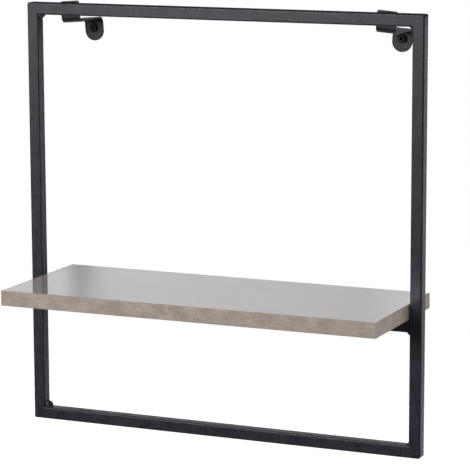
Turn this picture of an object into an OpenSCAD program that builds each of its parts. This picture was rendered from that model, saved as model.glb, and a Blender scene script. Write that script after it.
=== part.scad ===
/* [Frame] */
// Outer width of the square-tube frame
frame_w = 442; // [360:1:600]
// Outer height of the frame
frame_h = 450; // [360:1:600]
// Outside of the square tube, across its flats
tube = 12.7; // [10:0.1:16]
// Wall thickness of the tube
tube_wall = 1.2; // [0.9:0.1:1.8]
// Inside corner radius of the tube's section
tube_inner_r = 0.4; // [0.2:0.1:1]
// Radius ground on the outer corners of the welded frame
frame_corner_r = 2.8; // [0.5:0.1:4]
// Distance from the wall to the back of the frame
stand_off = 53.8; // [40:0.1:75]
// Leg of the weld bead in each inner corner of the frame
corner_weld = 4.5; // [2:0.1:8]

/* [Rail] */
// Height of the rail's underside above the bottom of the frame
rail_h = 130; // [60:1:300]
// Leg of the weld bead under each end of the rail
rail_weld = 3.6; // [2:0.1:7]

/* [Board] */
// Thickness of the finished board
board_t = 16; // [12:0.5:25]
// Depth of the board, from the wall to its front edge
board_depth = 160; // [130:1:220]
// Gap between each end of the board and the post beside it
board_end_gap = 1.3; // [0.5:0.1:4]
// Thickness of the decor sheets on the top and bottom faces
face_sheet_t = 0.6; // [0.3:0.1:1.2]
// Thickness of the edge bands
edge_band_t = 1; // [0.4:0.1:2]

/* [Wall brackets] */
// Width of the bracket strip
strip_w = 21.5; // [16:0.5:26]
// Thickness of the bracket strip
strip_t = 2; // [1.5:0.1:3]
// Inside radius of both bends
bend_r = 4; // [1:0.1:4.5]
// Distance from the side of the frame to the wall screw
screw_inset = 46; // [38:0.5:90]
// Turn of each bracket about the depth axis, inner edge up, in degrees
bracket_turn = 4.5; // [0:0.5:6]
// Rise of the bracket plate above the top tube, at its middle
plate_rise = 1.6; // [1.2:0.1:4]
// Drop from the underside of the top tube to the top of the bracket arm
arm_drop = 6.5; // [3.5:0.1:15]
// Drop from the underside of the arm to the wall screw
screw_drop = 9.3; // [8.5:0.1:16]
// Drop from the wall screw to the tip of the tab
tab_tip = 14; // [10:0.1:20]
// Corner radius at the top of the bracket plate
plate_corner_r = 2; // [0.5:0.1:4]
// Leg of the weld beads between bracket plate and top tube
plate_weld = 0.7; // [0.4:0.1:0.8]

/* [Wall screws] */
// Shank diameter of the wall screws
wall_screw_d = 4.4; // [3.5:0.1:5]
// Length of the wall screws under the head
wall_screw_len = 16; // [12:1:50]
// Length of the wall screws' points
wall_screw_point = 4; // [2:0.5:6]
// Head diameter of the wall screws
wall_head_d = 9.4; // [8:0.1:11]
// Head height of the wall screws
wall_head_h = 3; // [2.4:0.1:4]

/* [Board screws] */
// Distance between the two screws that hold the board to its rail
board_screw_spacing = 280; // [120:1:320]
// Shank diameter of the board screws
board_screw_d = 3.5; // [3:0.1:4.5]
// Depth that the board screws reach into the board
board_screw_bite = 12; // [8:0.5:18]
// Length of the board screws' points
board_screw_point = 3; // [2:0.5:5]
// Head diameter of the board screws
board_head_d = 7; // [6.5:0.1:8.5]
// Head height of the board screws
board_head_h = 2.5; // [2.2:0.1:3.5]

/* [Screw details] */
// How much smaller the plain neck under a screw's head is than its thread, in radius
neck_step = 0.4; // [0.2:0.05:0.6]
// Radial clearance round a screw in a metal part
metal_clear = 0.25; // [0.15:0.05:0.5]
// Radial clearance round a screw in the board
board_clear = 0.05; // [0.02:0.01:0.15]
// Radius on the rim of a screw head
head_round = 1.5; // [0.6:0.1:1.8]
// Span of the cross recess
recess_span = 4.8; // [3.5:0.1:5.5]
// Width of the cross recess's slots
recess_slot = 1.3; // [0.8:0.1:1.6]
// Depth of the cross recess
recess_depth = 1.8; // [1:0.1:1.9]
// Turn of the cross recess from upright, in degrees
recess_turn = 35; // [0:5:45]

/* [Hidden] */
$fn = 64;

frame_black = [0.15, 0.15, 0.165];
screw_black = [0.09, 0.09, 0.1];
decor_grey = [0.72, 0.72, 0.71];
edge_taupe = [0.6, 0.56, 0.52];
chipboard_tan = [0.68, 0.55, 0.38];

// How far a cutting shape runs past what it cuts
past = 1;
tube_outer_r = tube_inner_r + tube_wall;
tube_flat = tube - 2 * tube_outer_r;
inside_w = frame_w - 2 * tube;
inside_h = frame_h - 2 * tube;

// The origin lies on the wall, midway between the wall screws. Heights are counted from there.
screw_x = frame_w / 2 - screw_inset;
pivot_to_screw = tube / 2 + arm_drop + strip_t + screw_drop;
pivot_x = screw_x + pivot_to_screw * sin(bracket_turn);
pivot_z = pivot_to_screw * cos(bracket_turn);
frame_y = -stand_off - tube / 2;
frame_top = pivot_z + tube / 2;
frame_mid = frame_top - frame_h / 2;
frame_bottom = frame_top - frame_h;

rail_z = frame_bottom + rail_h + tube / 2;
board_z = rail_z + tube / 2;
board_len = inside_w - 2 * board_end_gap;
core_len = board_len - 2 * edge_band_t;
core_depth = board_depth - 2 * edge_band_t;
core_t = board_t - 2 * face_sheet_t;
board_screw_len = tube + board_screw_bite;

// Bracket heights, counted up from the pivot at the middle of the top tube
plate_top = tube / 2 + plate_rise;
arm_top = -tube / 2 - arm_drop;
arm_under = arm_top - strip_t;
tip_z = -pivot_to_screw - tab_tip;
bead_len = strip_w - 2 * plate_corner_r;

module along_x(len) { rotate([90, 0, 90]) linear_extrude(height = len, center = true) children(); }
module along_y(len) { rotate([90, 0, 0]) linear_extrude(height = len, center = true) children(); }

module rounded_square(w, h, r) {
    square([w - 2 * r, h], center = true);
    square([w, h - 2 * r], center = true);
    for (sx = [-1, 1], sy = [-1, 1])
        translate([sx * (w / 2 - r), sy * (h / 2 - r)]) circle(r = r);
}

module tube_outline() { rounded_square(tube, tube, tube_outer_r); }

module tube_section() {
    difference() {
        tube_outline();
        rounded_square(tube - 2 * tube_wall, tube - 2 * tube_wall, tube_inner_r);
    }
}

// One side of the frame, lying along X with its outer face up. Both ends are cut at 45 degrees,
// and each shares the ground corner of the frame with its neighbour.
module mitred_tube(len, across) {
    intersection() {
        along_x(len) tube_section();
        along_y(tube + 2 * past) intersection() {
            polygon([[-len / 2, tube / 2], [len / 2, tube / 2],
                     [len / 2 - tube, -tube / 2], [-len / 2 + tube, -tube / 2]]);
            translate([0, (tube - across) / 2]) rounded_square(len, across, frame_corner_r);
        }
    }
}

module top_tube() {
    color(frame_black) translate([0, frame_y, frame_top - tube / 2]) mitred_tube(frame_w, frame_h);
}

module bottom_tube() {
    color(frame_black) translate([0, frame_y, frame_bottom + tube / 2])
        rotate([0, 180, 0]) mitred_tube(frame_w, frame_h);
}

// side is -1 for the left post and 1 for the right one
module post(side) {
    color(frame_black) translate([side * (frame_w - tube) / 2, frame_y, frame_mid])
        rotate([0, side * 90, 0]) mitred_tube(frame_h, frame_w);
}

module left_post() { post(-1); }
module right_post() { post(1); }

module shelf_rail() {
    color(frame_black) difference() {
        translate([0, frame_y, rail_z]) along_x(inside_w) tube_section();
        at_board_screws() cylinder(r = board_screw_d / 2 + metal_clear, h = tube + 2 * past);
    }
}

// A bead in a square corner, seen along Y, with its corner at the origin and its legs to the right
// and down
module corner_bead(leg) { along_y(tube_flat) polygon([[0, 0], [leg, 0], [0, -leg]]); }

module corner_welds() {
    color(frame_black) for (side = [-1, 1], up = [-1, 1])
        translate([side * inside_w / 2, frame_y, frame_mid + up * inside_h / 2])
            rotate([0, 0, side > 0 ? 180 : 0]) rotate([up > 0 ? 0 : 180, 0, 0]) corner_bead(corner_weld);
}

module rail_welds() {
    color(frame_black) for (side = [-1, 1])
        translate([side * inside_w / 2, frame_y, rail_z - tube / 2])
            rotate([0, 0, side > 0 ? 180 : 0]) corner_bead(rail_weld);
}

// Side view of the bracket strip: depth across the page, height from the pivot up the page
module strip_side() {
    plate_back = -stand_off + strip_t;
    translate([-stand_off, arm_top + bend_r]) square([strip_t, plate_top - arm_top - bend_r]);
    translate([plate_back + bend_r, arm_top + bend_r]) quarter_bend(180);
    translate([plate_back + bend_r, arm_under])
        square([stand_off - 2 * strip_t - 2 * bend_r, strip_t]);
    translate([-strip_t - bend_r, arm_under - bend_r]) quarter_bend(0);
    translate([-strip_t, tip_z]) square([strip_t, arm_under - bend_r - tip_z]);
}

// A quarter of a bend; start 0 gives the quarter towards +X and +Y
module quarter_bend(start) {
    rotate(start) intersection() {
        difference() {
            circle(r = bend_r + strip_t);
            circle(r = bend_r);
        }
        square(bend_r + strip_t);
    }
}

// Front view of the bracket strip: round tip, and small radii on the plate's top corners
module strip_front() {
    r = plate_corner_r;
    translate([0, tip_z + strip_w / 2]) circle(r = strip_w / 2);
    translate([-strip_w / 2, tip_z + strip_w / 2])
        square([strip_w, plate_top - r - tip_z - strip_w / 2]);
    translate([-strip_w / 2 + r, plate_top - 2 * r]) square([strip_w - 2 * r, 2 * r]);
    for (side = [-1, 1]) translate([side * (strip_w / 2 - r), plate_top - r]) circle(r = r);
}

// Puts what is drawn round the pivot of a bracket in its place, turned as the bracket is
module at_bracket(side) {
    translate([side * pivot_x, 0, pivot_z]) rotate([0, side * bracket_turn, 0]) children();
}

module wall_bracket(side) {
    color(frame_black) at_bracket(side) difference() {
        intersection() {
            along_x(strip_w) strip_side();
            along_y(2 * stand_off + 2 * past) strip_front();
        }
        translate([0, 0, -pivot_to_screw]) rotate([90, 0, 0])
            cylinder(r = wall_screw_d / 2 + metal_clear, h = 2 * strip_t + 2 * past, center = true);
    }
}

module left_wall_bracket() { wall_bracket(-1); }
module right_wall_bracket() { wall_bracket(1); }

// Bead between the rounded back edge of the top tube and the plate, along its top or bottom edge
module plate_bead() {
    reach = tube_outer_r + plate_weld;
    along_x(bead_len) difference() {
        translate([tube / 2, tube / 2]) polygon([[0, plate_weld], [-reach, 0],
            [-reach / 2, -tube_outer_r / 2], [0, -tube_outer_r / 2]]);
        tube_outline();
    }
}

module bracket_welds() {
    color(frame_black) for (side = [-1, 1], up = [0, 1])
        translate([side * pivot_x, frame_y, pivot_z]) mirror([0, 0, up]) plate_bead();
}

module cross_recess() {
    rotate(recess_turn) {
        cube([recess_span, recess_slot, 2 * recess_depth], center = true);
        cube([recess_slot, recess_span, 2 * recess_depth], center = true);
    }
}

// A pan-head screw on Z: head above the origin, below it a plain neck, then the thread as a round
// shank, then the point. len counts all three.
module pan_screw(shank_d, len, neck, point, head_d, head_h) {
    difference() {
        rotate_extrude() {
            square([head_d / 2 - head_round, head_h]);
            square([head_d / 2, head_h - head_round]);
            translate([head_d / 2 - head_round, head_h - head_round]) circle(r = head_round);
        }
        translate([0, 0, head_h]) cross_recess();
    }
    translate([0, 0, -neck]) cylinder(r = shank_d / 2 - neck_step, h = neck);
    translate([0, 0, -len + point]) cylinder(r = shank_d / 2, h = len - point - neck);
    translate([0, 0, -len]) cylinder(r1 = shank_d / 10, r2 = shank_d / 2, h = point);
}

module wall_screw(side) {
    color(screw_black) translate([side * screw_x, -strip_t, 0]) rotate([90, 0, 0])
        pan_screw(wall_screw_d, wall_screw_len, strip_t, wall_screw_point, wall_head_d, wall_head_h);
}

module left_wall_screw() { wall_screw(-1); }
module right_wall_screw() { wall_screw(1); }

// Puts what is drawn at the underside of the rail where the two board screws are
module at_board_screws() {
    for (side = [-1, 1])
        translate([side * board_screw_spacing / 2, frame_y, rail_z - tube / 2]) children();
}

module board_screws() {
    color(screw_black) at_board_screws() rotate([180, 0, 0])
        pan_screw(board_screw_d, board_screw_len, tube, board_screw_point, board_head_d, board_head_h);
}

// A slab of the board. Its middle is at x, its back face at y and its underside at z.
module slab(x, y, z, len, depth, t) {
    translate([x - len / 2, y - depth, z]) cube([len, depth, t]);
}

module screw_pilots() {
    at_board_screws()
        cylinder(r = board_screw_d / 2 + board_clear, h = board_screw_len + board_clear);
}

module board_core() {
    color(chipboard_tan) difference() {
        slab(0, -edge_band_t, board_z + face_sheet_t, core_len, core_depth, core_t);
        screw_pilots();
    }
}

module top_face_sheet() {
    color(decor_grey)
        slab(0, -edge_band_t, board_z + face_sheet_t + core_t, core_len, core_depth, face_sheet_t);
}

module bottom_face_sheet() {
    color(decor_grey) difference() {
        slab(0, -edge_band_t, board_z, core_len, core_depth, face_sheet_t);
        screw_pilots();
    }
}

module front_edge_band() {
    color(edge_taupe) slab(0, edge_band_t - board_depth, board_z, board_len, edge_band_t, board_t);
}

module back_edge_band() { color(edge_taupe) slab(0, 0, board_z, board_len, edge_band_t, board_t); }

module end_band(side) {
    color(edge_taupe)
        slab(side * (board_len - edge_band_t) / 2, -edge_band_t, board_z, edge_band_t, core_depth, board_t);
}

module left_edge_band() { end_band(-1); }
module right_edge_band() { end_band(1); }

top_tube();
bottom_tube();
left_post();
right_post();
shelf_rail();
corner_welds();
rail_welds();
left_wall_bracket();
right_wall_bracket();
bracket_welds();
left_wall_screw();
right_wall_screw();
board_core();
top_face_sheet();
bottom_face_sheet();
front_edge_band();
back_edge_band();
left_edge_band();
right_edge_band();
board_screws();
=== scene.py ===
import bmesh
import bpy
import math
import random
from mathutils import Matrix, Vector


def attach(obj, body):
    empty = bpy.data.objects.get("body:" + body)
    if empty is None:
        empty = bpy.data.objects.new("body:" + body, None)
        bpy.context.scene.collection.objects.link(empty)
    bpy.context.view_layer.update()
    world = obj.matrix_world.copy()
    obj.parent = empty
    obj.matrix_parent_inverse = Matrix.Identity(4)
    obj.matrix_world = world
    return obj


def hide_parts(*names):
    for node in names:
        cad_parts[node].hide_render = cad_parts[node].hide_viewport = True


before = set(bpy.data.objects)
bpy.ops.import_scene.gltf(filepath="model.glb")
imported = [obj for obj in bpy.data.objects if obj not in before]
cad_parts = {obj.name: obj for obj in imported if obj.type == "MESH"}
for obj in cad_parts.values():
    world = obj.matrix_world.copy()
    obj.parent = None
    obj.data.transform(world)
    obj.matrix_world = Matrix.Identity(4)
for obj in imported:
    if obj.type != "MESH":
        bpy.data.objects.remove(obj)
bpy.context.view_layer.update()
mm = 0.001
print("frame loaded with", len(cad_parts), "CAD nodes")


def metres(*values):
    return tuple(value * mm for value in values)


def onAxis(axis, value, rest):
    # three numbers: the value on one axis, and the rest on the other two
    return tuple(value if index == axis else rest for index in range(3))


def turned(degrees, axis):
    return Matrix.Rotation(math.radians(degrees), 4, axis)


def near(a, b, reach=0.01):
    return abs(a - b) < reach


def startFresh():
    if bpy.context.object and bpy.context.object.mode != "OBJECT":
        bpy.ops.object.mode_set(mode="OBJECT")
    bpy.ops.object.select_all(action="DESELECT")  # the loaded nodes come in selected


def editNew(name):
    # the primitive that was just added, named and in edit mode with nothing selected
    piece = bpy.context.object
    piece.name = piece.data.name = name
    bpy.ops.object.transform_apply(location=True, rotation=True, scale=True)
    bpy.ops.object.mode_set(mode="EDIT")
    bpy.ops.mesh.select_all(action="DESELECT")
    return piece


def pick(kind, wanted):
    # selects the vertices, edges or faces all of whose points pass the test, which gets millimetres
    piece = bpy.context.object
    bpy.ops.mesh.select_mode(type=kind)
    bpy.ops.mesh.select_all(action="DESELECT")
    mesh = bmesh.from_edit_mesh(piece.data)
    for part in {"VERT": mesh.verts, "EDGE": mesh.edges, "FACE": mesh.faces}[kind]:
        points = [part] if kind == "VERT" else part.verts
        if all(wanted(point.co / mm) for point in points):
            part.select_set(True)
    mesh.select_flush_mode()
    bmesh.update_edit_mesh(piece.data)


def roundEdges(width, steps, wanted):
    pick("EDGE", wanted)
    bpy.ops.mesh.bevel(offset=width * mm, segments=steps, affect="EDGES")


def leaveEdit(smoothAngle=35):
    bpy.ops.mesh.select_all(action="SELECT")
    bpy.ops.mesh.remove_doubles(threshold=0.01 * mm)
    bpy.ops.mesh.normals_make_consistent(inside=False)
    bpy.ops.object.mode_set(mode="OBJECT")
    bpy.ops.object.shade_smooth_by_angle(angle=math.radians(smoothAngle))


def applyModifier(piece, kind, **settings):
    modifier = piece.modifiers.new(kind.lower(), kind)
    for name, value in settings.items():
        setattr(modifier, name, value)
    bpy.context.view_layer.objects.active = piece
    bpy.ops.object.modifier_apply(modifier=modifier.name)


def cutAway(piece, cutter):
    applyModifier(piece, "BOOLEAN", operation="DIFFERENCE", solver="EXACT", object=cutter)
    bpy.data.objects.remove(cutter, do_unlink=True)


def copyOf(piece, name):
    twin = piece.copy()
    twin.data = piece.data.copy()
    twin.name = twin.data.name = name
    bpy.context.collection.objects.link(twin)
    return twin


def place(piece, at, turn=turned(0, "Z")):
    # turns and moves a finished shape by changing its mesh, so that its object stays at the origin
    startFresh()
    piece.matrix_world = Matrix.Translation(metres(*at)) @ turn
    piece.select_set(True)
    bpy.context.view_layer.objects.active = piece
    bpy.ops.object.transform_apply(location=True, rotation=True, scale=True)


def joinAll(pieces, name):
    startFresh()
    for piece in pieces:
        piece.select_set(True)
    bpy.context.view_layer.objects.active = pieces[0]
    bpy.ops.object.join()
    joined = bpy.context.object
    joined.name = joined.data.name = name
    return joined


def hang(piece, material, slot, *nodes):
    # finish, body and CAD nodes of a piece that stands for them
    applyModifier(piece, "WEIGHTED_NORMAL", keep_sharp=True)  # keeps broad faces flat beside round edges
    piece.data.materials.clear()
    piece.data.materials.append(material)
    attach(piece, "root")
    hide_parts(*nodes)


def linearColour(code):
    # an sRGB hex value, as a colour picker gives it, in the linear values that the shader wants
    parts = [int(code[i:i + 2], 16) / 255 for i in (0, 2, 4)]
    return tuple(p / 12.92 if p <= 0.04045 else ((p + 0.055) / 1.055) ** 2.4 for p in parts) + (1,)


def perMetre(sizeMm):
    return 1000 / sizeMm  # the noise scale that gives features of about this size


def addNode(tree, kind, links=(), into=None, socket=None, **settings):
    # links: pairs of a socket and what goes into it, a value or another node's output. The node's own
    # result goes on into a socket of the node "into", where one is given.
    node = tree.nodes.new(kind)
    for name, value in settings.items():
        setattr(node, name, value)
    for name, value in links:
        if isinstance(value, bpy.types.NodeSocket):
            tree.links.new(value, node.inputs[name])
        else:
            node.inputs[name].default_value = value
    if into:
        result = next(out for out in node.outputs if out.enabled)
        tree.links.new(result, into.inputs[socket])
    return node


def clearTree(owner):
    # the emptied node tree of a material or the world
    owner.use_nodes = True
    owner.node_tree.nodes.clear()
    return owner.node_tree


def startMaterial(name, roughness=0.4, ior=1.5):
    material = bpy.data.materials.new(name)
    tree = clearTree(material)
    shader = addNode(tree, "ShaderNodeBsdfPrincipled", [("Roughness", roughness), ("IOR", ior)])
    addNode(tree, "ShaderNodeOutputMaterial", [("Surface", shader.outputs[0])])
    where = addNode(tree, "ShaderNodeTexCoord").outputs["Object"]
    return material, tree, shader, where


def layPatterns(tree, shader, where, look, axis=0):
    # Each pattern of a look is a noise, about "mm" in size, and "crisp" says how far its fine detail shows.
    # "squeeze" is its scale along the axis, so below 1 it is drawn out that way, and a shift moves it in X.
    # Its colour comes in between two levels of the noise, up to the third value, over the base and the
    # patterns before it. A relief, given as strength and depth in mm, shapes the surface too.
    colour = linearColour(look["base"])
    for pattern in look["patterns"].values():
        low, high, most = pattern["levels"]
        spot = addNode(tree, "ShaderNodeMapping", [
            ("Vector", where), ("Location", (pattern.get("shift", 0), 0, 0)),
            ("Scale", onAxis(axis, pattern["squeeze"], 1))])
        noise = addNode(tree, "ShaderNodeTexNoise", [
            ("Vector", spot.outputs[0]), ("Scale", perMetre(pattern["mm"])),
            ("Detail", pattern["detail"]), ("Roughness", pattern["crisp"])])
        amount = addNode(tree, "ShaderNodeMapRange", [
            ("Value", noise.outputs[0]), ("From Min", low), ("From Max", high), ("To Max", most)])
        colour = addNode(tree, "ShaderNodeMix", [
            (0, amount.outputs[0]), (6, colour), (7, linearColour(pattern["colour"]))],
            data_type="RGBA").outputs[2]
        if "relief" in pattern:
            strength, depthMm = pattern["relief"]
            addNode(tree, "ShaderNodeBump", [
                ("Height", noise.outputs[0]), ("Strength", strength), ("Distance", depthMm * mm)],
                shader, "Normal")
    tree.links.new(colour, shader.inputs["Base Color"])


powderCoatLook = {"dark": "13131d", "light": "272635", "mottle": (0.75, 1.25), "cloudMm": 9, "ior": 1.5,
                  "peelMm": 2.2, "peelDetail": 3, "peelCrisp": 0.6, "peelLevels": (0.4, 0.6),
                  "gloss": (0.35, 0.5), "peelStrength": 0.6, "peelDepthMm": 0.12}
stripCoatLook = dict(powderCoatLook, gloss=(0.34, 0.58), dark="16161e", light="21202c")


def makePowderCoat(name, look):
    # Polyester powder, sprayed on steel and baked: satin black with a touch of blue, and a fine orange
    # peel that breaks up the highlights. The peel is really about 0.5 mm across, and is drawn coarser to
    # show. On the bent strips it went on thinner, and is duller.
    material, tree, shader, where = startMaterial(name, ior=look["ior"])
    peel = addNode(tree, "ShaderNodeTexNoise", [
        ("Vector", where), ("Scale", perMetre(look["peelMm"])),
        ("Detail", look["peelDetail"]), ("Roughness", look["peelCrisp"])])
    cloud = addNode(tree, "ShaderNodeTexNoise", [("Vector", where), ("Scale", perMetre(look["cloudMm"]))])
    both = addNode(tree, "ShaderNodeMath", [(0, peel.outputs[0]), (1, cloud.outputs[0])], operation="ADD")
    amount = addNode(tree, "ShaderNodeMapRange", [
        ("Value", both.outputs[0]), ("From Min", look["mottle"][0]), ("From Max", look["mottle"][1])])
    addNode(tree, "ShaderNodeMix", [
        (0, amount.outputs[0]), (6, linearColour(look["dark"])), (7, linearColour(look["light"]))],
        shader, "Base Color", data_type="RGBA")
    addNode(tree, "ShaderNodeMapRange", [
        ("Value", peel.outputs[0]), ("From Min", look["peelLevels"][0]), ("From Max", look["peelLevels"][1]),
        ("To Min", look["gloss"][0]), ("To Max", look["gloss"][1])], shader, "Roughness")
    addNode(tree, "ShaderNodeBump", [
        ("Height", peel.outputs[0]), ("Strength", look["peelStrength"]),
        ("Distance", look["peelDepthMm"] * mm)], shader, "Normal")
    return material


screwLook = {
    "base": "070709", "roughness": 0.52, "ior": 1.36,
    "patterns": {
        "grain": {"mm": 0.6, "detail": 3, "crisp": 0.5, "squeeze": 1, "levels": (0.35, 0.65, 1),
                  "colour": "0f0f11", "relief": (0.3, 0.02)}}}


def makeBlackScrew():
    # Hardened steel, cold headed and black phosphated, then oiled. The phosphate hides the metal: near
    # black, with a soft shine. Its crystals are far finer than the grain, which is drawn to show.
    look = screwLook
    material, tree, shader, where = startMaterial("blackPhosphatedSteel", look["roughness"], look["ior"])
    layPatterns(tree, shader, where, look)
    return material


decorLook = {
    "base": "aaabb3", "roughness": 0.11, "ior": 1.6, "overlay": 1, "overlayRoughness": 0.1,
    "patterns": {  # the shift picks a stretch of the clouds that renders without blotches
        "cloud": {"mm": 45, "detail": 4, "crisp": 0.55, "squeeze": 0.5, "levels": (0.35, 0.65, 1),
                  "colour": "a19ea1", "shift": 0.18},
        "warm": {"mm": 110, "detail": 2, "crisp": 0.5, "squeeze": 0.5, "levels": (0.46, 0.59, 0.7),
                 "colour": "b6a19f", "shift": 0.18},
        "stroke": {"mm": 3.5, "detail": 3, "crisp": 0.6, "squeeze": 0.12, "levels": (0.5, 0.72, 0.6),
                   "colour": "a19ea1", "relief": (0.1, 0.01)},
        "fleck": {"mm": 1.1, "detail": 2, "crisp": 0.5, "squeeze": 1, "levels": (0.6, 0.75, 0.45),
                  "colour": "878280"}}}


def makeDecorSheet():
    # Melamine decor paper with a concrete print under a clear overlay, pressed on with a smooth semi-gloss
    # plate: pale grey clouds, some a little warmer, and faint trowel strokes along the board. The overlay
    # gives near mirror reflections at a low angle.
    look = decorLook
    material, tree, shader, where = startMaterial("concreteDecorSheet", look["roughness"], look["ior"])
    shader.inputs["Coat Weight"].default_value = look["overlay"]
    shader.inputs["Coat Roughness"].default_value = look["overlayRoughness"]
    layPatterns(tree, shader, where, look)
    return material


bandLook = {
    "base": "aea297", "roughness": 0.45,
    "patterns": {
        "cloud": {"mm": 14, "detail": 3, "crisp": 0.6, "squeeze": 1, "levels": (0.35, 0.68, 0.7),
                  "colour": "8b7f74"},
        "streak": {"mm": 1.6, "detail": 4, "crisp": 0.65, "squeeze": 0.12, "levels": (0.44, 0.68, 0.8),
                   "colour": "8b7f74", "relief": (0.25, 0.04)},
        "fleck": {"mm": 1.5, "detail": 1, "crisp": 0.5, "squeeze": 1, "levels": (0.62, 0.76, 0.5),
                  "colour": "675d55"}}}


def makeEdgeBand(name, axis):
    # ABS edge band, extruded, printed with the same concrete a little browner, and glued on warm: matt,
    # with short streaks along its length, which is the axis, and small dark flecks
    material, tree, shader, where = startMaterial(name, bandLook["roughness"])
    layPatterns(tree, shader, where, bandLook, axis)
    return material


coreLook = {
    "base": "b8945f", "roughness": 0.85, "chipMm": 2.5,
    "patterns": {
        "tint": {"mm": 4, "detail": 2, "crisp": 0.5, "squeeze": 1, "levels": (0.3, 0.7, 1),
                 "colour": "84623a"}}}


def makeChipboard():
    # Wood chips pressed with resin: light brown chips a few millimetres long, dull all over. Each chip has
    # one tint, because the noise is read at its middle.
    look = coreLook
    material, tree, shader, where = startMaterial("pressedChipboard", look["roughness"])
    chips = addNode(tree, "ShaderNodeTexVoronoi", [("Vector", where), ("Scale", perMetre(look["chipMm"]))])
    layPatterns(tree, shader, chips.outputs["Position"], look)
    return material


powderCoat = makePowderCoat("blackPowderCoat", powderCoatLook)
stripCoat = makePowderCoat("dullBlackPowderCoat", stripCoatLook)
blackScrew = makeBlackScrew()
decorSheet = makeDecorSheet()
bandAlongX = makeEdgeBand("edgeBandLong", 0)
bandAlongY = makeEdgeBand("edgeBandEnd", 1)
chipboard = makeChipboard()
for nodeName in ("top_tube", "bottom_tube", "left_post", "right_post", "shelf_rail"):
    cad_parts[nodeName].material_slots[0].material = powderCoat
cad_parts["board_core"].material_slots[0].material = chipboard
print("materials made")


# the board: two decor sheets and four edge bands round the chipboard core
board = {"halfLength": 207, "depth": 160, "underside": -276.874, "thickness": 16, "band": 1,
         "bandRound": 0.8, "bandSteps": 5, "sheet": 0.6, "hairline": 0.08, "hairlineSteps": 2}


def addBlock(name, low, high):
    startFresh()
    middle = [(a + b) / 2 for a, b in zip(low, high)]
    size = [b - a for a, b in zip(low, high)]
    bpy.ops.mesh.primitive_cube_add(size=1, location=metres(*middle), scale=metres(*size))
    return editNew(name)


def addBand(name, low, high, axis, face):
    # the visible side lies at "face" on the axis
    piece = addBlock(name, low, high)
    width, steps = board["bandRound"], board["bandSteps"]
    if axis == 1:  # front and back cover the ends of the others, and are rounded all round
        roundEdges(width, steps, lambda p: near(p[1], face))
    else:
        for level in (low[2], high[2]):
            roundEdges(width, steps, lambda p: near(p[0], face) and near(p[2], level))
    leaveEdit()
    return piece


def buildBoard():
    b = board
    x, y, low = b["halfLength"], -b["depth"], b["underside"]
    top = low + b["thickness"]
    inX, inY, backY = x - b["band"], y + b["band"], -b["band"]
    for name, node, start, end, axis, face, material in (
            ("frontEdgeBand", "front_edge_band", (-x, y, low), (x, inY, top), 1, y, bandAlongX),
            ("backEdgeBand", "back_edge_band", (-x, backY, low), (x, 0, top), 1, 0, bandAlongX),
            ("leftEdgeBand", "left_edge_band", (-x, inY, low), (-inX, backY, top), 0, -x, bandAlongY),
            ("rightEdgeBand", "right_edge_band", (inX, inY, low), (x, backY, top), 0, x, bandAlongY)):
        hang(addBand(name, start, end, axis, face), material, "edge_band", node)
    for name, node, start, seen in (("topFaceSheet", "top_face_sheet", top - b["sheet"], top),
                                    ("bottomFaceSheet", "bottom_face_sheet", low, low)):
        sheet = addBlock(name, (-inX, inY, start), (inX, backY, start + b["sheet"]))
        roundEdges(b["hairline"], b["hairlineSteps"], lambda p: near(p[2], seen))  # the joint to the bands
        leaveEdit()
        hang(sheet, decorSheet, "decor_sheet", node)
    print("board built")


buildBoard()


# weld beads: each ring along one has a size of its own
bead = {"ringsPerRipple": 4, "leastRipples": 3, "wavePower": 0.7, "endMm": 0.9}


def beadSizes(look, lumps, seed):
    chance = random.Random(seed)
    length, ripple, endSize = look["length"], look["ripple"], look["endSize"]
    steps = max(bead["leastRipples"], round(length / look["rippleMm"])) * bead["ringsPerRipple"]
    sizes = []
    for step in range(steps + 1):
        wave = abs(math.sin(math.pi * step / bead["ringsPerRipple"])) ** bead["wavePower"]
        fromEnd = min(step, steps - step) / steps * length
        end = min(1, endSize + (1 - endSize) * (fromEnd / bead["endMm"]) ** look["endPower"])
        sizes.append(end * (1 - ripple + ripple * wave) * (1 + chance.uniform(*lumps)))
    return sizes


def drawOut(axis, length, sizes):
    # draws the selected outline out along an axis, ring after ring, and gives each ring its size
    steps, last = len(sizes) - 1, 1
    for step, size in enumerate(sizes):
        if step:
            stride = onAxis(axis, length / steps * mm, 0)
            bpy.ops.mesh.extrude_region_move(TRANSFORM_OT_translate={"value": stride})
        middle = onAxis(axis, (-length / 2 + length * step / steps) * mm, 0)
        bpy.ops.transform.resize(value=onAxis(axis, 1, size / last), center_override=middle)
        last = size


def addCornerBead(look, leg, lump, flatten, seed):
    # a bead in a square corner, along Y: from the corner at the origin one leg runs to +X, the other down
    startFresh()
    bpy.ops.mesh.primitive_circle_add(
        vertices=look["sides"], radius=leg * mm, fill_type="NGON", rotation=(math.pi / 2, 0, 0),
        location=metres(0, -look["length"] / 2, 0))
    piece = editNew("cornerBead")
    for normal in ((-1, 0, 0), (0, 0, 1)):  # leaves a quarter of the circle
        bpy.ops.mesh.select_all(action="SELECT")
        bpy.ops.mesh.bisect(plane_co=(0, 0, 0), plane_no=normal, clear_outer=True, use_fill=False)
    mesh = bmesh.from_edit_mesh(piece.data)
    for vert in mesh.verts:  # flatter than a quarter circle
        turn = math.atan2(-vert.co.z, vert.co.x)
        flat = 1 - flatten * math.sin(2 * turn)
        vert.co.x *= flat
        vert.co.z *= flat
    bmesh.update_edit_mesh(piece.data)
    bpy.ops.mesh.select_all(action="SELECT")
    drawOut(1, look["length"], beadSizes(look, (-lump, lump), seed))
    leaveEdit(smoothAngle=60)
    place(piece, (-look["sink"], 0, look["sink"]))
    return piece


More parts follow.
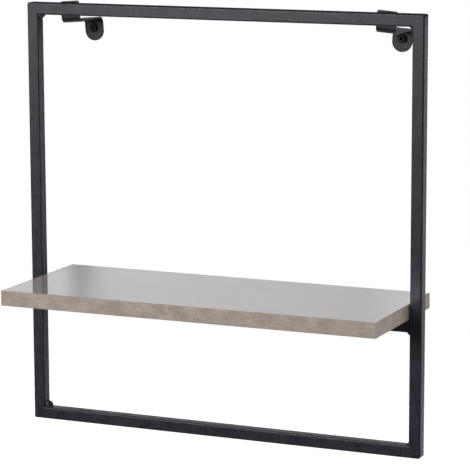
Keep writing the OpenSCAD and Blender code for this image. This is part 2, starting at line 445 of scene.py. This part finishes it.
frameInside = {"halfWidth": 208.3, "top": 17.726, "tubeTop": 30.426, "bottom": -406.874,
               "railUnderside": -289.574, "middleY": -60.15}
cornerWeld = {
    "length": 9.4, "rippleMm": 1.5, "ripple": 0.1, "endSize": 0.72, "endPower": 1, "sides": 36, "sink": 0.12,
    "firstSeed": 3, "spots": ((-1, "top"), (1, "top"), (1, "bottom"), (-1, "bottom")),
    "beads": ((4.6, 0.03, 0.12), (4, 0.012, 0.25), (3.9, 0.012, 0.2), (5.3, 0.1, 0))}  # leg, lumps, flatten
railWeld = dict(cornerWeld, ripple=0.07, firstSeed=11, beads=((3.6, 0.012, 0.16), (3.6, 0.012, 0.16)),
                spots=((-1, "railUnderside"), (1, "railUnderside")))


def buildFrameWelds():
    f = frameInside
    for name, node, look in (("cornerWeldBeads", "corner_welds", cornerWeld),
                             ("railWeldBeads", "rail_welds", railWeld)):
        made = []
        for index, (side, height) in enumerate(look["spots"]):
            one = addCornerBead(look, *look["beads"][index], look["firstSeed"] + index)
            place(one, (side * f["halfWidth"], f["middleY"], f[height]), turned(90 * index, "Y"))
            made.append(one)
        hang(joinAll(made, name), powderCoat, "powder_coated_steel", node)
    print("frame welds built")


buildFrameWelds()


# the wall brackets: one strip, bent twice
bracket = {"width": 21.5, "thickness": 2, "bendInside": 4, "bendSteps": 10, "pivotX": 176.895,
           "pivotZ": 24.076, "turn": 4.5, "frontY": -53.8, "plateTop": 7.95, "plateCorner": 2,
           "cornerSteps": 6, "armUnder": -14.85, "tip": -38.15, "tipSides": 64, "screwZ": -24.15,
           "holeRadius": 2.45, "holeSides": 40, "cutterLength": 8, "softEdge": 0.3, "softSteps": 2}


def buildBracketShape():
    # Drawn round its pivot, from the tab's round end upwards: the strip's front and under surface first
    k = bracket
    tabY = -k["thickness"]
    tipMiddle = k["tip"] + k["width"] / 2
    startFresh()
    bpy.ops.mesh.primitive_circle_add(
        vertices=k["tipSides"], radius=k["width"] / 2 * mm, fill_type="NGON", rotation=(math.pi / 2, 0, 0),
        location=metres(0, tabY, tipMiddle))
    piece = editNew("wallBracket")
    bpy.ops.mesh.select_all(action="SELECT")
    bpy.ops.mesh.bisect(plane_co=metres(0, 0, tipMiddle), plane_no=(0, 0, 1), clear_outer=True)
    pick("EDGE", lambda p: near(p[2], tipMiddle))
    bendY, bendZ = tabY - k["bendInside"], k["armUnder"] - k["bendInside"]
    bpy.ops.mesh.extrude_edges_move(TRANSFORM_OT_translate={"value": metres(0, 0, bendZ - tipMiddle)})
    bpy.ops.mesh.spin(steps=k["bendSteps"], angle=-math.pi / 2, axis=(1, 0, 0),
                      center=metres(0, bendY, bendZ))
    farY = k["frontY"] + k["thickness"] + k["bendInside"]
    farZ = k["armUnder"] + k["thickness"] + k["bendInside"]
    bpy.ops.mesh.extrude_edges_move(TRANSFORM_OT_translate={"value": metres(0, farY - bendY, 0)})
    bpy.ops.mesh.spin(steps=k["bendSteps"], angle=math.pi / 2, axis=(1, 0, 0), center=metres(0, farY, farZ))
    bpy.ops.mesh.extrude_edges_move(TRANSFORM_OT_translate={"value": metres(0, 0, k["plateTop"] - farZ)})
    pick("VERT", lambda p: near(p[2], k["plateTop"]))
    bpy.ops.mesh.bevel(offset=k["plateCorner"] * mm, segments=k["cornerSteps"], affect="VERTICES")
    leaveEdit()
    lowest = min(piece.data.polygons, key=lambda face: face.center.z)
    if lowest.normal.y < 0:  # an open sheet may face either way, and the thickness goes on to its back
        piece.data.flip_normals()
    return piece


def buildBrackets():
    k = bracket
    shape = buildBracketShape()
    applyModifier(shape, "SOLIDIFY", thickness=k["thickness"] * mm, offset=1, use_even_offset=True)
    startFresh()
    bpy.ops.mesh.primitive_cylinder_add(vertices=k["holeSides"], radius=k["holeRadius"] * mm,
                                        depth=k["cutterLength"] * mm, rotation=(math.pi / 2, 0, 0),
                                        location=metres(0, 0, k["screwZ"]))
    cutAway(shape, bpy.context.object)
    applyModifier(shape, "BEVEL", width=k["softEdge"] * mm, segments=k["softSteps"], limit_method="ANGLE",
                  angle_limit=math.radians(40))
    for side, name, node in ((-1, "leftWallBracket", "left_wall_bracket"),
                             (1, "rightWallBracket", "right_wall_bracket")):
        piece = copyOf(shape, name)
        place(piece, (side * k["pivotX"], 0, k["pivotZ"]), turned(side * k["turn"], "Y"))
        bpy.ops.object.shade_smooth_by_angle(angle=math.radians(35))
        hang(piece, stripCoat, "powder_coated_steel", node)
    bpy.data.objects.remove(shape, do_unlink=True)
    print("brackets built")


buildBrackets()


# the thin beads behind the plates; halfDeep and halfHigh are half sizes of their section
plateWeld = {"length": 17.5, "rippleMm": 1.4, "ripple": 0.1, "endSize": 0.45, "endPower": 0.5, "sides": 20,
             "lumps": (-0.02, 0), "seed": 20, "halfDeep": 1.45, "halfHigh": 1.2, "outY": 0.85, "inZ": 0.5}


def addRoundBead(look, seed):
    # a thin bead along X, round in section, with ripples
    startFresh()
    bpy.ops.mesh.primitive_circle_add(
        vertices=look["sides"], radius=mm, fill_type="NGON", rotation=(0, math.pi / 2, 0),
        location=metres(-look["length"] / 2, 0, 0), scale=(look["halfHigh"], look["halfDeep"], 1))
    piece = editNew("plateBead")
    bpy.ops.mesh.select_all(action="SELECT")
    drawOut(0, look["length"], beadSizes(look, look["lumps"], seed))
    leaveEdit(smoothAngle=60)
    return piece


def buildPlateWelds():
    # one bead along the top and one along the bottom of each plate, on the rounded back edges of the tube
    f, k, look = frameInside, bracket, plateWeld
    made = []
    for side in (-1, 1):
        for up in (1, -1):
            one = addRoundBead(look, look["seed"] + side + 3 * up)
            level = f["tubeTop"] if up > 0 else f["top"]
            place(one, (side * k["pivotX"], k["frontY"] - look["outY"], level - up * look["inZ"]))
            made.append(one)
    hang(joinAll(made, "plateWeldBeads"), powderCoat, "powder_coated_steel", "bracket_welds")
    print("plate welds built")


buildPlateWelds()


# The recess is a little wider and deeper than in the CAD, so that it shows.
wallScrew = {
    "headRadius": 4.7, "headHeight": 3, "headSides": 48, "rimRound": 1.1, "rimSteps": 6, "footRound": 0.15,
    "footSteps": 2, "recessSpan": 5.6, "recessSlot": 1.5, "recessDepth": 2.4, "recessTurn": 35,
    "recessTaper": (0.72, 0.5, 1), "neckRadius": 1.8, "neck": 2, "neckSides": 32, "neckLap": 0.6,
    "neckInset": 0.2, "threadRadius": 2.2, "coreRadius": 1.55, "pitch": 1.8, "length": 16, "point": 4,
    "pointLeast": 0.1, "turnSteps": 24, "mergeMm": 0.001,
    "tooth": ((0, 0.3), (1, 0.16), (0, 0.08), (-1, 0.16), (0, 0.3))}  # shares of its depth and the pitch
boardScrew = dict(wallScrew, headRadius=3.5, headHeight=2.5, recessSpan=4.6, recessDepth=1.8,
                  neckRadius=1.35, neck=12.7, threadRadius=1.75, coreRadius=1.2, pitch=1.6, length=24.7,
                  point=3)
screwPlaces = {"wallX": 175, "wallY": -2, "boardX": 140, "boardY": -60.15, "boardZ": -289.574}


def addHead(look):
    # it stands on z = 0, and the shank hangs below
    startFresh()
    high = look["headHeight"]
    bpy.ops.mesh.primitive_cylinder_add(vertices=look["headSides"], radius=look["headRadius"] * mm,
                                        depth=high * mm, location=metres(0, 0, high / 2))
    head = editNew("head")
    roundEdges(look["rimRound"], look["rimSteps"], lambda p: near(p[2], high))
    roundEdges(look["footRound"], look["footSteps"], lambda p: near(p[2], 0))
    leaveEdit()
    low = high - look["recessDepth"]
    for quarter in (0, 90):  # two tapered slots make the cross recess
        startFresh()
        bpy.ops.mesh.primitive_cube_add(
            size=1, location=metres(0, 0, high),
            scale=metres(look["recessSpan"], look["recessSlot"], 2 * look["recessDepth"]))
        slot = editNew("slot")
        pick("FACE", lambda p: near(p[2], low))
        bpy.ops.transform.resize(value=look["recessTaper"], center_override=metres(0, 0, low))
        leaveEdit()
        place(slot, (0, 0, 0), turned(look["recessTurn"] + quarter, "Z"))
        cutAway(head, slot)
    return head


def addThread(look):
    # one tooth is drawn and wound down the shank, then both ends are cut square and the point is tapered
    startFresh()
    pitch, core = look["pitch"], look["coreRadius"]
    depth = look["threadRadius"] - core
    top, bottom = -look["neck"], -look["length"]
    start = bottom - 2 * pitch
    bpy.ops.mesh.primitive_plane_add(size=mm)
    piece = editNew("thread")
    bpy.ops.mesh.select_mode(type="VERT")  # a lone vertex can't be selected in the other modes
    bpy.ops.mesh.select_all(action="SELECT")
    bpy.ops.mesh.merge(type="CENTER")
    bpy.ops.transform.translate(value=metres(core, 0, start))
    for out, up in look["tooth"]:
        bpy.ops.mesh.extrude_vertices_move(
            TRANSFORM_OT_translate={"value": metres(out * depth, 0, up * pitch)})
    bpy.ops.object.mode_set(mode="OBJECT")
    applyModifier(piece, "SCREW", axis="Z", angle=2 * math.pi, screw_offset=pitch * mm,
                  iterations=math.ceil((top - start) / pitch) + 1, steps=look["turnSteps"],
                  render_steps=look["turnSteps"], use_merge_vertices=True,
                  merge_threshold=look["mergeMm"] * mm)
    bpy.ops.object.mode_set(mode="EDIT")
    for level, normal in ((top, (0, 0, 1)), (bottom, (0, 0, -1))):
        bpy.ops.mesh.select_all(action="SELECT")
        bpy.ops.mesh.bisect(plane_co=metres(0, 0, level), plane_no=normal, clear_outer=True, use_fill=True,
                            threshold=look["mergeMm"] * mm)  # its usual 0.1 mm leaves the cut ends open
    mesh = bmesh.from_edit_mesh(piece.data)
    for vert in mesh.verts:
        left = (vert.co.z / mm - bottom) / look["point"]
        if left < 1:
            vert.co.x *= max(look["pointLeast"], left)
            vert.co.y *= max(look["pointLeast"], left)
    bmesh.update_edit_mesh(piece.data)
    leaveEdit(smoothAngle=50)
    return piece


def addScrew(look, name):
    head, thread = addHead(look), addThread(look)
    startFresh()
    bpy.ops.mesh.primitive_cylinder_add(
        vertices=look["neckSides"], radius=look["neckRadius"] * mm,
        depth=(look["neck"] + look["neckLap"]) * mm, location=metres(0, 0, -look["neck"] / 2))
    neck = editNew("neck")
    pick("FACE", lambda p: p[2] < -look["neck"])
    bpy.ops.mesh.inset(thickness=look["neckInset"] * mm)
    leaveEdit()
    whole = joinAll([head, neck, thread], name)
    bpy.ops.object.shade_smooth_by_angle(angle=math.radians(40))
    return whole


def buildScrews():
    s = screwPlaces
    wall = addScrew(wallScrew, "wallScrewShape")
    for side, name, node in ((-1, "leftWallScrew", "left_wall_screw"),
                             (1, "rightWallScrew", "right_wall_screw")):
        piece = copyOf(wall, name)
        place(piece, (side * s["wallX"], s["wallY"], 0), turned(90, "X"))
        hang(piece, blackScrew, "black_screw_steel", node)
    bpy.data.objects.remove(wall, do_unlink=True)
    first = addScrew(boardScrew, "boardScrews")
    second = copyOf(first, "boardScrewTwo")
    for side, piece in ((-1, first), (1, second)):
        place(piece, (side * s["boardX"], s["boardY"], s["boardZ"]), turned(180, "X"))
    hang(joinAll([first, second], "boardScrews"), blackScrew, "black_screw_steel", "board_screws")
    print("screws built")


buildScrews()


# floorZ, wallGap, glowX and fadeZ are in millimetres, and the two half sizes and floorFade in metres
studio = {"dim": 0.08, "floorZ": -1450, "floorHalf": 4, "floorColour": "e9e9e8", "floorLift": 0.7,
          "floorFade": (0, 0.6), "wallHalf": 1.5, "wallColour": "e9e9e9", "wallGap": 0.004,
          "wallGlow": 0.3, "glowX": (140, 240), "fadeZ": (12, 34), "ambientFront": 0.15,
          "ambientBack": 0.8, "brightSide": (0.85, 0.5, 0), "sideFade": (-0.3, 0.3), "backFade": (0.2, 0.6)}


def rayKinds(tree):
    # two switches: one for what the camera sees itself or through glass, one for reflections
    seen = addNode(tree, "ShaderNodeLightPath").outputs
    direct = addNode(tree, "ShaderNodeMath", [
        (0, seen["Is Camera Ray"]), (1, seen["Is Transmission Ray"])], operation="MAXIMUM")
    return direct.outputs[0], seen["Is Glossy Ray"]


def buildFloor():
    # Matt backdrop paper, laid flat: white to the camera, and dim in reflections where it lies in front of
    # the object
    startFresh()
    bpy.ops.mesh.primitive_plane_add(size=2 * studio["floorHalf"], location=metres(0, 0, studio["floorZ"]))
    floor = bpy.context.object
    floor.name = "floor"
    material = bpy.data.materials.new("mattBackdropPaper")
    tree = clearTree(material)
    plain = addNode(tree, "ShaderNodeBsdfDiffuse", [("Color", linearColour(studio["floorColour"]))])
    lift = addNode(tree, "ShaderNodeEmission", [("Strength", studio["floorLift"])])
    both = addNode(tree, "ShaderNodeAddShader", [(0, plain.outputs[0]), (1, lift.outputs[0])])
    spot = addNode(tree, "ShaderNodeNewGeometry").outputs["Position"]
    back = addNode(tree, "ShaderNodeSeparateXYZ", [(0, spot)]).outputs["Y"]
    level = addNode(tree, "ShaderNodeMapRange", [
        ("Value", back), ("From Min", studio["floorFade"][0]), ("From Max", studio["floorFade"][1]),
        ("To Min", studio["dim"])])
    mirrored = addNode(tree, "ShaderNodeEmission", [("Strength", level.outputs[0])])
    direct, glossy = rayKinds(tree)
    first = addNode(tree, "ShaderNodeMixShader", [
        (0, direct), (1, plain.outputs[0]), (2, both.outputs[0])])
    second = addNode(tree, "ShaderNodeMixShader", [
        (0, glossy), (1, first.outputs[0]), (2, mirrored.outputs[0])])
    addNode(tree, "ShaderNodeOutputMaterial", [("Surface", second.outputs[0])])
    floor.data.materials.append(material)


def buildWall():
    # A wall in matt white paint right behind the shelf. It shows only in the shelf's glossy surfaces, so
    # that every side can be seen, and takes its soft shadows. A painted glow, rising towards the right,
    # stands in for more light falling on it there. Above the height of the top tube it fades into a dim,
    # flat painted shade, since the top tube's top shows no bright wall in the photograph.
    startFresh()
    bpy.ops.mesh.primitive_plane_add(size=2 * studio["wallHalf"], rotation=(math.pi / 2, 0, 0),
                                     location=metres(0, studio["wallGap"], 0))
    wall = bpy.context.object
    wall.name = "wall"
    material = bpy.data.materials.new("mattWallPaint")
    tree = clearTree(material)
    paint = addNode(tree, "ShaderNodeBsdfDiffuse", [("Color", linearColour(studio["wallColour"]))])
    spot = addNode(tree, "ShaderNodeNewGeometry").outputs["Position"]
    across = addNode(tree, "ShaderNodeSeparateXYZ", [(0, spot)])
    glowX, fadeZ = metres(*studio["glowX"]), metres(*studio["fadeZ"])
    # painted glow on the wall's right part, standing in for light falling on it
    level = addNode(tree, "ShaderNodeMapRange", [
        ("Value", across.outputs["X"]), ("From Min", glowX[0]), ("From Max", glowX[1]),
        ("To Max", studio["wallGlow"])])
    glow = addNode(tree, "ShaderNodeEmission", [("Strength", level.outputs[0])])
    both = addNode(tree, "ShaderNodeAddShader", [(0, paint.outputs[0]), (1, glow.outputs[0])])
    # above the top tube the lit paint fades into a dim, flat painted shade
    fade = addNode(tree, "ShaderNodeMapRange", [
        ("Value", across.outputs["Z"]), ("From Min", fadeZ[0]), ("From Max", fadeZ[1])])
    shade = addNode(tree, "ShaderNodeEmission", [("Strength", studio["dim"])])
    lit = addNode(tree, "ShaderNodeMixShader", [
        (0, fade.outputs[0]), (1, both.outputs[0]), (2, shade.outputs[0])])
    addNode(tree, "ShaderNodeOutputMaterial", [("Surface", lit.outputs[0])])
    wall.data.materials.append(material)
    wall.visible_camera = wall.visible_diffuse = wall.visible_transmission = wall.visible_shadow = False


def buildWorld():
    # white to the camera; for the object it is bright behind, also to the right, and dim in front, more so
    # in its reflections
    world = bpy.data.worlds.new("studio")
    bpy.context.scene.world = world
    tree = clearTree(world)
    direction = addNode(tree, "ShaderNodeTexCoord").outputs["Generated"]
    back = addNode(tree, "ShaderNodeSeparateXYZ", [(0, direction)]).outputs["Y"]
    mirrored = addNode(tree, "ShaderNodeMapRange", [
        ("Value", back), ("From Min", studio["backFade"][0]), ("From Max", studio["backFade"][1]),
        ("To Min", studio["dim"])])
    side = addNode(tree, "ShaderNodeVectorMath", [(0, direction), (1, studio["brightSide"])],
                   operation="DOT_PRODUCT").outputs["Value"]
    soft = addNode(tree, "ShaderNodeMapRange", [
        ("Value", side), ("From Min", studio["sideFade"][0]), ("From Max", studio["sideFade"][1]),
        ("To Min", studio["ambientFront"]), ("To Max", studio["ambientBack"])])
    direct, glossy = rayKinds(tree)
    first = addNode(tree, "ShaderNodeMix", [(0, glossy), (2, soft.outputs[0]), (3, mirrored.outputs[0])])
    strength = addNode(tree, "ShaderNodeMix", [(0, direct), (2, first.outputs[0]), (3, 1.0)])
    light = addNode(tree, "ShaderNodeBackground", [
        ("Color", (1, 1, 1, 1)), ("Strength", strength.outputs[0])])
    addNode(tree, "ShaderNodeOutputWorld", [("Surface", light.outputs[0])])


# large lights in front; everything but the watts is in metres
softBoxes = {
    "keySoftBox": {"at": (-0.74, -2.2, 0.56), "aim": (0, -0.07, -0.15), "size": (0.75, 1), "watts": 26.2},
    "leftSoftBox": {"at": (-1.3, -2.1, 0.5), "aim": (0, -0.1, -0.1), "size": (0.7, 1.1), "watts": 13},
}


def addSoftBoxes():
    for name, look in softBoxes.items():
        lamp = bpy.data.lights.new(name, "AREA")
        lamp.shape = "RECTANGLE"
        lamp.size, lamp.size_y = look["size"]
        lamp.energy = look["watts"]
        holder = bpy.data.objects.new(name, lamp)
        bpy.context.collection.objects.link(holder)
        at, aim = Vector(look["at"]), Vector(look["aim"])
        holder.location = at
        holder.rotation_mode = "QUATERNION"
        holder.rotation_quaternion = (aim - at).to_track_quat("-Z", "Y")


# worked out from the photograph's edges, in millimetres and degrees; only clip is in metres
cameraView = {"aim": (17.44, -66.5, -202.48), "turn": 23.663, "above": 10.015, "roll": 0.2, "away": 2433.6,
              "lens": 180.91, "sensor": 36, "clip": (0.1, 60)}


def addCamera():
    v = cameraView
    data = bpy.data.cameras.new("camera")
    data.lens, data.sensor_width = v["lens"], v["sensor"]
    data.clip_start, data.clip_end = v["clip"]
    camera = bpy.data.objects.new("camera", data)
    bpy.context.collection.objects.link(camera)
    look = turned(v["turn"], "Z") @ turned(90 - v["above"], "X") @ turned(-v["roll"], "Z")
    back = look @ Vector(metres(0, 0, v["away"]))
    camera.matrix_world = Matrix.Translation(Vector(v["aim"]) * mm + back) @ look
    bpy.context.scene.camera = camera


buildFloor()
buildWall()
buildWorld()
addSoftBoxes()
addCamera()
bpy.context.scene.view_settings.view_transform = "Standard"
print("studio set up")
